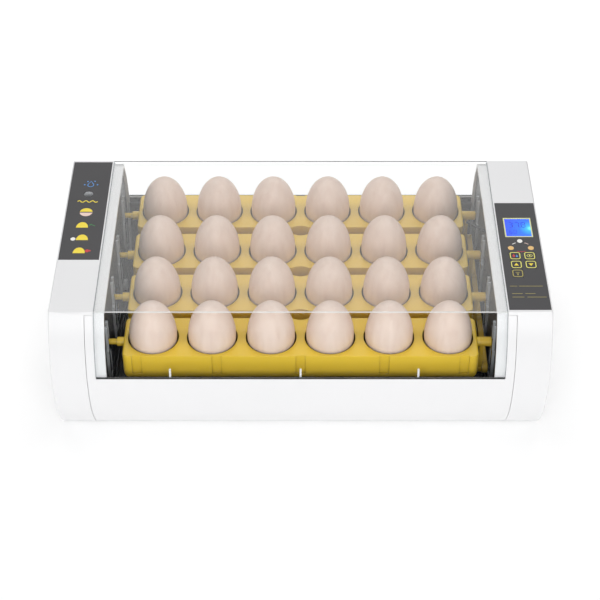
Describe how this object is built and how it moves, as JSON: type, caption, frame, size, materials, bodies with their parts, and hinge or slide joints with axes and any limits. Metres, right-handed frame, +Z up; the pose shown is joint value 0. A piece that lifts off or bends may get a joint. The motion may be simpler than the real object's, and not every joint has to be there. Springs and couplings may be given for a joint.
{
  "type": "egg incubator",
  "caption": "Tabletop egg incubator with barrel-sided housing, clear lift-off cover, linked tilting egg trays, fan heating and a top control panel.",
  "frame": {"origin": "on the surface it stands on, under the middle of the housing", "axes": "+X along the trays towards the control end, +Y towards the back, +Z up"},
  "size_m": [0.47, 0.286, 0.15],
  "materials": {
    "white_shell": "smooth satin",
    "plate_plastic": "fine texture",
    "dark_panel": "fine texture",
    "dark_tub": "smooth",
    "guide_plastic": "translucent",
    "clear_cover": "clear, polished",
    "tray_yellow": "moulded satin",
    "egg_shell": "fine pores",
    "link_yellow": "moulded satin",
    "steel": "zinc plated",
    "motor_steel": "pressed can",
    "fan_black": "moulded",
    "guard_steel": "wire",
    "heater_mica": "mica with wire",
    "tube_plastic": "smooth",
    "label_film": "printed film",
    "lcd_frame": "moulded",
    "lcd_glass": "lit display",
    "circuit_board": "lacquered",
    "switch_plastic": "moulded",
    "inlet_black": "moulded",
    "sensor_black": "sleeve",
    "wire_sleeve": "sleeve",
    "foot_rubber": "matt",
    "key_plastic": "printed film"
  },
  "bodies": {
    "base": {"base_shell": "white_shell", "end_cap_left": "white_shell", "end_cap_right": "white_shell", "bottom_plate_left": "plate_plastic", "bottom_plate_right": "plate_plastic", "side_panel_left": "dark_panel", "side_panel_right": "dark_panel", "water_tub": "dark_tub", "pivot_guides_left": "guide_plastic", "pivot_guides_right": "guide_plastic", "turning_motor": "motor_steel", "fan_frame": "fan_black", "fan_guard": "guard_steel", "heater": "heater_mica", "fill_tube": "tube_plastic", "label_left": "label_film", "label_right": "label_film", "lcd_bezel": "lcd_frame", "lcd_screen": "lcd_glass", "control_board": "circuit_board", "tact_switches": "switch_plastic", "power_board": "circuit_board", "power_inlet": "inlet_black", "sensor_probe": "sensor_black", "wiring": "wire_sleeve", "feet": "foot_rubber", "plate_screws": "steel", "panel_screws": "steel", "board_screws": "steel", "fan_screws": "steel", "inlet_screws": "steel"},
    "cover": {"cover": "clear_cover"},
    "tray_1": {"tray_1": "tray_yellow", "eggs_1": "egg_shell", "lever_1": "link_yellow"},
    "tray_2": {"tray_2": "tray_yellow", "eggs_2": "egg_shell", "lever_2": "link_yellow", "drive_shaft": "steel"},
    "tray_3": {"tray_3": "tray_yellow", "eggs_3": "egg_shell", "lever_3": "link_yellow"},
    "tray_4": {"tray_4": "tray_yellow", "eggs_4": "egg_shell", "lever_4": "link_yellow"},
    "link_bar": {"link_bar": "link_yellow"},
    "fan_rotor": {"fan_rotor": "fan_black"},
    "button_heat": {"button_heat": "key_plastic"},
    "button_turn": {"button_turn": "key_plastic"},
    "button_up": {"button_up": "key_plastic"},
    "button_down": {"button_down": "key_plastic"},
    "button_set": {"button_set": "key_plastic"}
  },
  "joints": [
    {"name": "cover_lift", "type": "slide", "parent": "base", "child": "cover", "axis": [0, 0, 1], "range_m": [0, 0.12]},
    {"name": "tray_2_tilt", "type": "hinge", "parent": "base", "child": "tray_2", "pos_m": [0, -0.0326, 0.0944], "axis": [1, 0, 0], "range_deg": [-30, 30]},
    {"name": "tray_1_tilt", "type": "hinge", "parent": "base", "child": "tray_1", "pos_m": [0, -0.0978, 0.0944], "axis": [1, 0, 0], "range_deg": [-30, 30]},
    {"name": "tray_3_tilt", "type": "hinge", "parent": "base", "child": "tray_3", "pos_m": [0, 0.0326, 0.0944], "axis": [1, 0, 0], "range_deg": [-30, 30]},
    {"name": "tray_4_tilt", "type": "hinge", "parent": "base", "child": "tray_4", "pos_m": [0, 0.0978, 0.0944], "axis": [1, 0, 0], "range_deg": [-30, 30]},
    {"name": "link_bar_level", "type": "hinge", "parent": "tray_2", "child": "link_bar", "pos_m": [0.1785, -0.0326, 0.0614], "axis": [1, 0, 0], "range_deg": [-30, 30]},
    {"name": "fan_spin", "type": "hinge", "parent": "base", "child": "fan_rotor", "pos_m": [-0.202, 0, 0.056], "axis": [1, 0, 0], "continuous": true},
    {"name": "press_heat", "type": "slide", "parent": "base", "child": "button_heat", "axis": [0, 0, -1], "range_m": [0, 0.0006], "stiffness_N_per_m": 400, "springref_m": -0.0004},
    {"name": "press_turn", "type": "slide", "parent": "base", "child": "button_turn", "axis": [0, 0, -1], "range_m": [0, 0.0006], "stiffness_N_per_m": 400, "springref_m": -0.0004},
    {"name": "press_up", "type": "slide", "parent": "base", "child": "button_up", "axis": [0, 0, -1], "range_m": [0, 0.0006], "stiffness_N_per_m": 400, "springref_m": -0.0004},
    {"name": "press_down", "type": "slide", "parent": "base", "child": "button_down", "axis": [0, 0, -1], "range_m": [0, 0.0006], "stiffness_N_per_m": 400, "springref_m": -0.0004},
    {"name": "press_set", "type": "slide", "parent": "base", "child": "button_set", "axis": [0, 0, -1], "range_m": [0, 0.0006], "stiffness_N_per_m": 400, "springref_m": -0.0004}
  ],
  "couplings": [
    {"joint": "tray_1_tilt", "follows": "tray_2_tilt", "ratio": 1},
    {"joint": "tray_3_tilt", "follows": "tray_2_tilt", "ratio": 1},
    {"joint": "tray_4_tilt", "follows": "tray_2_tilt", "ratio": 1},
    {"joint": "link_bar_level", "follows": "tray_2_tilt", "ratio": -1}
  ]
}
